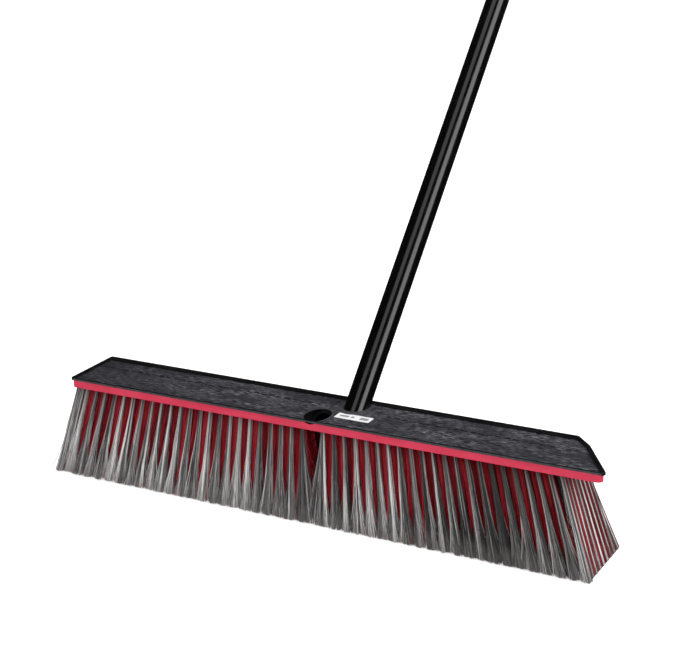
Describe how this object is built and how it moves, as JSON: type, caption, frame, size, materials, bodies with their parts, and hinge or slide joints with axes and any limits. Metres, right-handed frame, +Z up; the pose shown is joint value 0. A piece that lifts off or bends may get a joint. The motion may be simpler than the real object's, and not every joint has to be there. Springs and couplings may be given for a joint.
{
  "type": "push broom",
  "caption": "Push broom: long black block over a red plate with dense rows of grey and red bristles, an angled steel handle that unscrews, and a spare handle socket.",
  "frame": {"origin": "on the floor under the middle of the block, in the plane of the bristle tips", "axes": "+X along the block towards its mitred end, +Y from the front row towards the leaning handle, +Z up"},
  "size_m": [0.6349, 0.9983, 1.0815],
  "materials": {
    "cover_black": "satin",
    "plate_red": "satin",
    "bristle_grey": "satin",
    "bristle_red": "satin",
    "tube_black": "gloss",
    "fitting_black": "satin",
    "screw_steel": "satin",
    "wire_steel": "satin",
    "label_paper": "matte"
  },
  "bodies": {
    "head": {"block_cover": "cover_black", "tuft_plate": "plate_red", "plate_screws": "screw_steel", "label": "label_paper", "tuft_row_1": "bristle_grey", "tuft_row_2": "bristle_red", "tuft_row_3": "bristle_grey", "tuft_row_4": "bristle_red", "tuft_row_5": "bristle_grey", "tuft_row_6": "bristle_red", "tuft_row_7": "bristle_grey", "tuft_row_8": "bristle_red", "tuft_row_9": "bristle_grey", "row_wire_1": "wire_steel", "row_wire_2": "wire_steel", "row_wire_3": "wire_steel", "row_wire_4": "wire_steel", "row_wire_5": "wire_steel", "row_wire_6": "wire_steel", "row_wire_7": "wire_steel", "row_wire_8": "wire_steel", "row_wire_9": "wire_steel"},
    "handle_tube": {"handle_tube": "tube_black"},
    "handle_core": {"handle_tip": "fitting_black", "hang_cap": "fitting_black"}
  },
  "joints": [
    {"name": "handle_travel", "type": "slide", "parent": "head", "child": "handle_tube", "axis": [0, 0.6947, 0.7193], "range_m": [0, 0.0254]},
    {"name": "handle_turn", "type": "hinge", "parent": "handle_tube", "child": "handle_core", "pos_m": [0.016, 0.019, 0.111], "axis": [0, 0.6947, 0.7193], "range_deg": [0, 1800.5]}
  ],
  "couplings": [
    {"joint": "handle_turn", "follows": "handle_travel", "rad_per_m": 1236.8}
  ]
}
